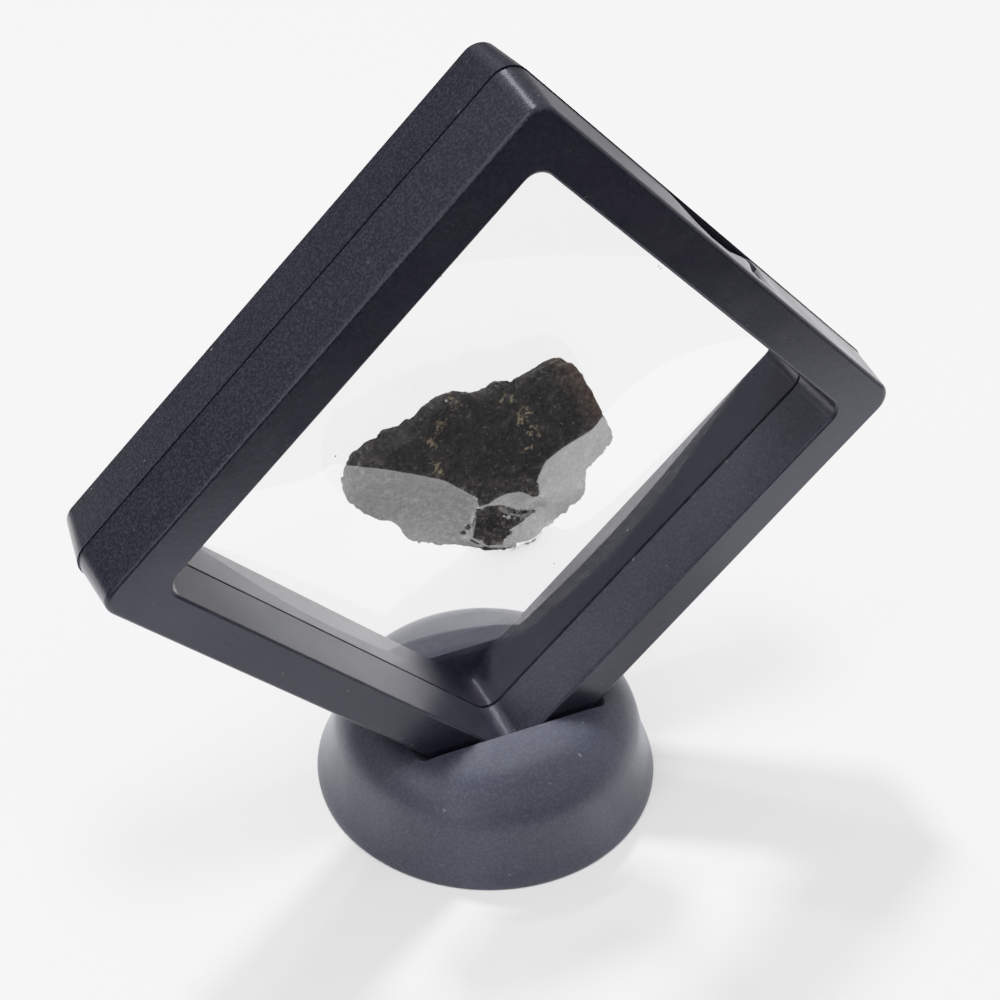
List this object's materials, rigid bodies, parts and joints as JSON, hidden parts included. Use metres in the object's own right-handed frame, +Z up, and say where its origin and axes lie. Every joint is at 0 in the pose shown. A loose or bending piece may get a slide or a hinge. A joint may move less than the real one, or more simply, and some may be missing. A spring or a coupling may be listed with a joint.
{
  "type": "framed chondrite meteorite",
  "caption": "Dark stony meteorite fragment held between clear stretched films in a square floating display frame that stands on its corner in a round slotted foot.",
  "frame": {"origin": "centre of the round foot's underside, on the surface it stands on", "axes": "+Z up, +Y from the viewed front to the back, through the frame's thickness, +X to the viewer's right"},
  "size_m": [0.1244, 0.0554, 0.1259],
  "materials": {
    "foot_plastic": "satin moulded plastic, dark grey",
    "frame_plastic": "fine eroded texture on the sides, satin on the faces, near black",
    "clear_film": "clear glossy stretched elastic film",
    "meteorite_stone": "dark rough broken stone with small tan and golden grains"
  },
  "bodies": {
    "root": {"stand": "foot_plastic", "frame_front": "frame_plastic", "frame_back": "frame_plastic", "membrane_front": "clear_film", "membrane_back": "clear_film", "meteorite": "meteorite_stone"}
  },
  "joints": []
}
